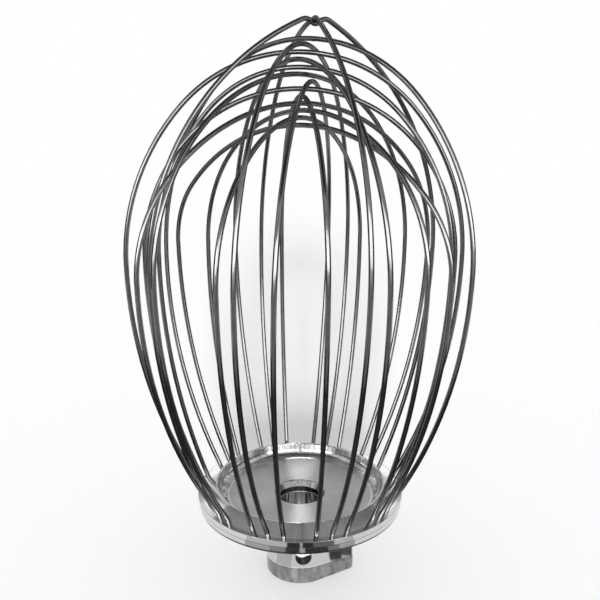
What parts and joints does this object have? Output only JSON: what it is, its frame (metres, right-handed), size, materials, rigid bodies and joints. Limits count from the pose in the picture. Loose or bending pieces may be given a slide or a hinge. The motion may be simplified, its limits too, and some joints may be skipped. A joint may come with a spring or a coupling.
{
  "type": "stand mixer wire whisk",
  "caption": "Balloon-shaped wire whisk for a large stand mixer: crossing steel wire loops set in a round plate with a lobed bayonet drive boss and a through bore.",
  "frame": {"origin": "centre of the shaft bore at the end of the drive boss", "axes": "+Z along the shaft bore, from the boss end towards the crown of the cage; -Y is the front of the picture, with the boss lobe towards +X"},
  "size_m": [0.214, 0.2208, 0.3608],
  "materials": {
    "turned_steel": "turned and polished stainless steel",
    "wire_steel": "bright drawn stainless steel wire"
  },
  "bodies": {
    "root": {"hub": "turned_steel", "wire_loop_01": "wire_steel", "wire_loop_02": "wire_steel", "wire_loop_03": "wire_steel", "wire_loop_04": "wire_steel", "wire_loop_05": "wire_steel", "wire_loop_06": "wire_steel", "wire_loop_07": "wire_steel", "wire_loop_08": "wire_steel", "wire_loop_09": "wire_steel", "wire_loop_10": "wire_steel", "wire_loop_11": "wire_steel", "wire_loop_12": "wire_steel", "wire_loop_13": "wire_steel", "wire_loop_14": "wire_steel", "wire_loop_15": "wire_steel"}
  },
  "joints": []
}
